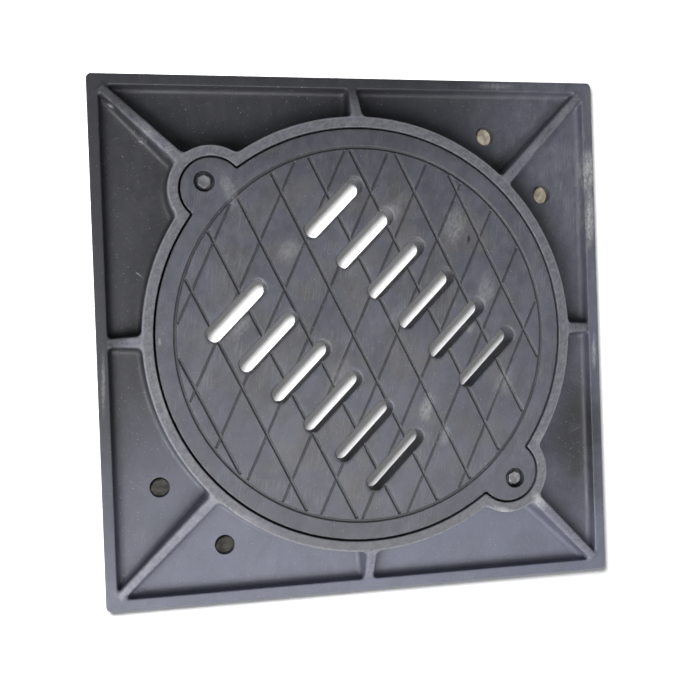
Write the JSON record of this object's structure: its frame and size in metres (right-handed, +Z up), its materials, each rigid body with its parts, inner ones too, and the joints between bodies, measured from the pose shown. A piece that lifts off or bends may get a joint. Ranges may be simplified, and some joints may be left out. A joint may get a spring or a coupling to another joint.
{
  "type": "manhole cover",
  "caption": "Round drainage access cover with slots, a diamond tread and bolt-down ears, in a square flanged frame with stiffening ribs.",
  "frame": {"origin": "centre of the square frame's flat underside", "axes": "+Z up towards the lid's top, +X and +Y along the frame's sides, with the bolt ears at 135 and 315 degrees"},
  "size_m": [0.8, 0.8, 0.07],
  "materials": {
    "frame_composite": "satin moulded resin composite, dark blue-grey with chalky scuffs",
    "lid_composite": "satin moulded resin composite, dark blue-grey with pale wear on the edges",
    "gasket_rubber": "matt EPDM rubber",
    "zinc_steel": "dull zinc plating, dusty",
    "sleeve_steel": "plain stainless tube",
    "insert_brass": "machined brass",
    "rod_steel": "black mill scale"
  },
  "bodies": {
    "frame": {"frame": "frame_composite", "seat_gasket": "gasket_rubber", "thread_insert_1": "insert_brass", "thread_insert_2": "insert_brass"},
    "lid": {"lid": "lid_composite", "long_rod_1": "rod_steel", "long_rod_2": "rod_steel", "long_rod_3": "rod_steel", "long_rod_4": "rod_steel", "long_rod_5": "rod_steel", "long_rod_6": "rod_steel", "long_rod_7": "rod_steel", "cross_rod_1": "rod_steel", "cross_rod_2": "rod_steel", "cross_rod_3": "rod_steel", "rod_hoop": "rod_steel", "bolt_sleeve_1": "sleeve_steel", "bolt_sleeve_2": "sleeve_steel"},
    "washers_1": {"spring_washer_1": "zinc_steel", "flat_washer_1": "zinc_steel"},
    "bolt_1": {"lock_bolt_1": "zinc_steel"},
    "washers_2": {"spring_washer_2": "zinc_steel", "flat_washer_2": "zinc_steel"},
    "bolt_2": {"lock_bolt_2": "zinc_steel"}
  },
  "joints": [
    {"name": "lid_lift", "type": "slide", "parent": "frame", "child": "lid", "axis": [0, 0, 1], "range_m": [0, 0.12]},
    {"name": "bolt_1_rise", "type": "slide", "parent": "lid", "child": "washers_1", "axis": [0, 0, 1], "range_m": [0, 0.02013]},
    {"name": "bolt_1_turn", "type": "hinge", "parent": "washers_1", "child": "bolt_1", "pos_m": [-0.23405, 0.23405, 0.0604], "axis": [0, 0, 1], "range_deg": [0, 4141]},
    {"name": "bolt_2_rise", "type": "slide", "parent": "lid", "child": "washers_2", "axis": [0, 0, 1], "range_m": [0, 0.02013]},
    {"name": "bolt_2_turn", "type": "hinge", "parent": "washers_2", "child": "bolt_2", "pos_m": [0.23405, -0.23405, 0.0604], "axis": [0, 0, 1], "range_deg": [0, 4141]}
  ],
  "couplings": [
    {"joint": "bolt_1_turn", "follows": "bolt_1_rise", "rad_per_m": 3590.4},
    {"joint": "bolt_2_turn", "follows": "bolt_2_rise", "rad_per_m": 3590.4}
  ]
}
